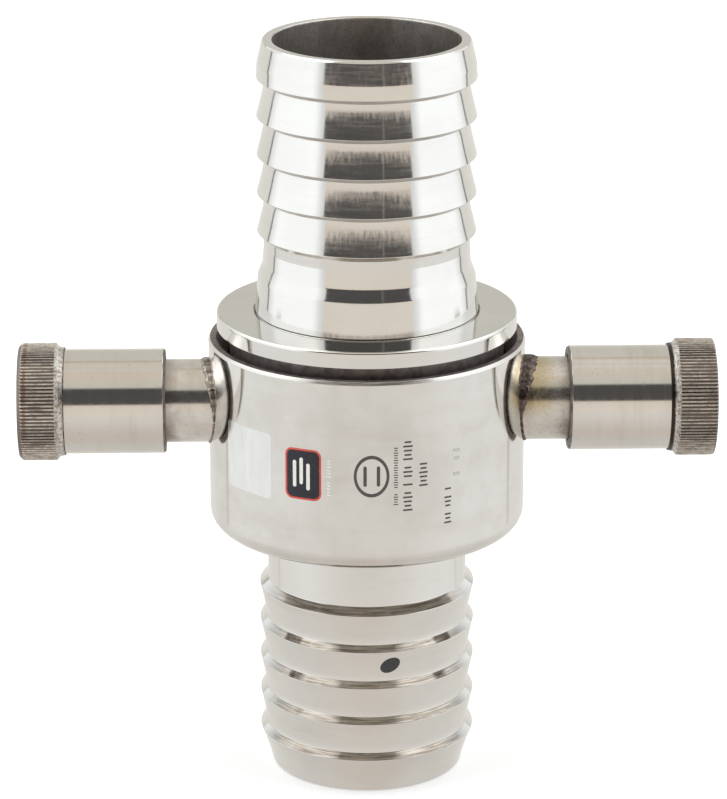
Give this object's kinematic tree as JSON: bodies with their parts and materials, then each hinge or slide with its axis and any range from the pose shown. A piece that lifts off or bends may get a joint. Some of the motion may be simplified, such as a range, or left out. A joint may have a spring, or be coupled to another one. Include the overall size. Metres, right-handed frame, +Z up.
{
  "type": "instantaneous fire hose coupling",
  "caption": "Polished steel hose coupling: a spigot locked in a cup by opposite spring plungers with knurled pull grips, and serrated hose tails at both ends.",
  "frame": {"origin": "centre of the female tail's hose end face, on the bore axis", "axes": "+Z up the bore axis from the female tail to the male tail, X along the common axis of the plungers, which is 115 mm above the origin"},
  "size_m": [0.208, 0.0946, 0.2256],
  "materials": {
    "polished_steel": "polished stainless steel with fine turning marks",
    "machined_steel": "machined stainless steel",
    "knurled_steel": "straight knurled stainless steel, slightly tarnished",
    "spring_steel": "drawn spring wire",
    "washer_rubber": "moulded matt rubber"
  },
  "bodies": {
    "female_half": {"female_body": "polished_steel", "female_tail": "polished_steel", "sealing_washer": "washer_rubber", "plunger_housing_left": "polished_steel", "plunger_housing_right": "polished_steel", "housing_plug_left": "machined_steel", "housing_plug_right": "machined_steel", "spring_left": "spring_steel", "spring_right": "spring_steel"},
    "male_half": {"male_spigot": "polished_steel", "male_tail": "polished_steel"},
    "left_plunger": {"plunger_left": "machined_steel", "pull_sleeve_left": "polished_steel", "knurled_cap_left": "knurled_steel", "spindle_washer_left": "machined_steel", "spindle_nut_left": "machined_steel", "split_pin_left": "machined_steel"},
    "right_plunger": {"plunger_right": "machined_steel", "pull_sleeve_right": "polished_steel", "knurled_cap_right": "knurled_steel", "spindle_washer_right": "machined_steel", "spindle_nut_right": "machined_steel", "split_pin_right": "machined_steel"}
  },
  "joints": [
    {"name": "male_swivel", "type": "hinge", "parent": "female_half", "child": "male_half", "pos_m": [0, 0, 0.115], "axis": [0, 0, 1], "continuous": true},
    {"name": "plunger_left_pull", "type": "slide", "parent": "female_half", "child": "left_plunger", "axis": [-1, 0, 0], "range_m": [0, 0.006], "stiffness_N_per_m": 2500, "springref_m": -0.008, "deforming": ["spring_left"]},
    {"name": "plunger_right_pull", "type": "slide", "parent": "female_half", "child": "right_plunger", "axis": [1, 0, 0], "range_m": [0, 0.006], "stiffness_N_per_m": 2500, "springref_m": -0.008, "deforming": ["spring_right"]}
  ]
}
